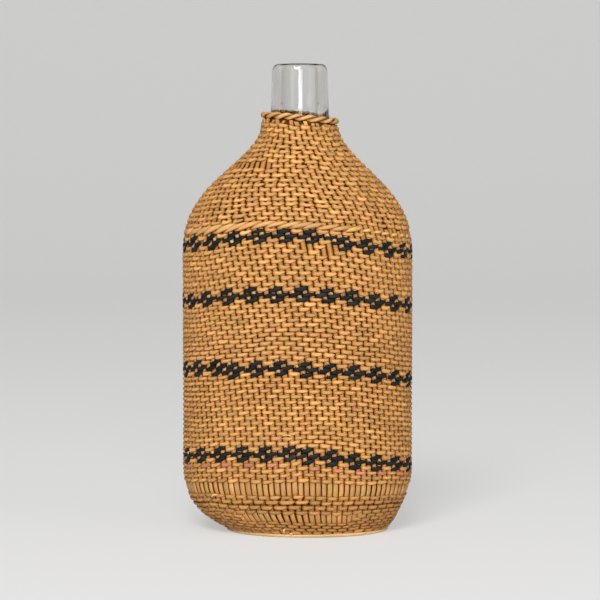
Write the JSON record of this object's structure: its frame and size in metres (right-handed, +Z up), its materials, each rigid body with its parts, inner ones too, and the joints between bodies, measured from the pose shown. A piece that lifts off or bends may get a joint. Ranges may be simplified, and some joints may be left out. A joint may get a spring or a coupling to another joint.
{
  "type": "basketry covered flask",
  "caption": "Oval clear glass flask with a round open neck, inside a close-fitting diagonally twined basketry cover with black bands and a twisted rim.",
  "frame": {"origin": "under the middle of the bottle, on the surface that it stands on", "axes": "+Z up to the mouth, +X across the wide face, -Y out of the front face"},
  "size_m": [0.1033, 0.0674, 0.2079],
  "materials": {
    "clear_glass": "clear, fire-polished, faintly warm",
    "straw_weft": "dry split plant fibre, tan, satin",
    "pale_straw_weft": "dry split plant fibre, pale tan, satin",
    "bare_warp": "flat shaved splint, tan, satin",
    "black_weft": "dyed split plant fibre, faded black, matt",
    "black_and_straw_weft": "stitches alternately dyed black and plain tan, matt",
    "pink_weft": "stitches alternately dyed faded pink and plain tan, matt"
  },
  "bodies": {
    "root": {"glass_flask": "clear_glass", "base_start": "pale_straw_weft", "base_weave": "straw_weft", "base_edge_row": "pale_straw_weft", "heel_weave": "straw_weft", "lower_open_warps": "bare_warp", "foot_weave": "straw_weft", "upper_open_warps": "bare_warp", "low_wall_weave": "straw_weft", "pink_row": "pink_weft", "band_4_lower_row": "black_and_straw_weft", "band_4_middle_row": "black_weft", "band_4_upper_row": "black_and_straw_weft", "wall_weave_4": "straw_weft", "band_3_lower_row": "black_and_straw_weft", "band_3_middle_row": "black_weft", "band_3_upper_row": "black_and_straw_weft", "wall_weave_3": "straw_weft", "band_2_lower_row": "black_and_straw_weft", "band_2_middle_row": "black_weft", "band_2_upper_row": "black_and_straw_weft", "wall_weave_2": "straw_weft", "band_1_lower_row": "black_and_straw_weft", "band_1_middle_row": "black_weft", "band_1_upper_row": "black_and_straw_weft", "twined_ridge": "pale_straw_weft", "shoulder_weave": "straw_weft", "neck_weave": "straw_weft", "cut_warp_ends": "bare_warp", "rim_braid": "pale_straw_weft"}
  },
  "joints": []
}
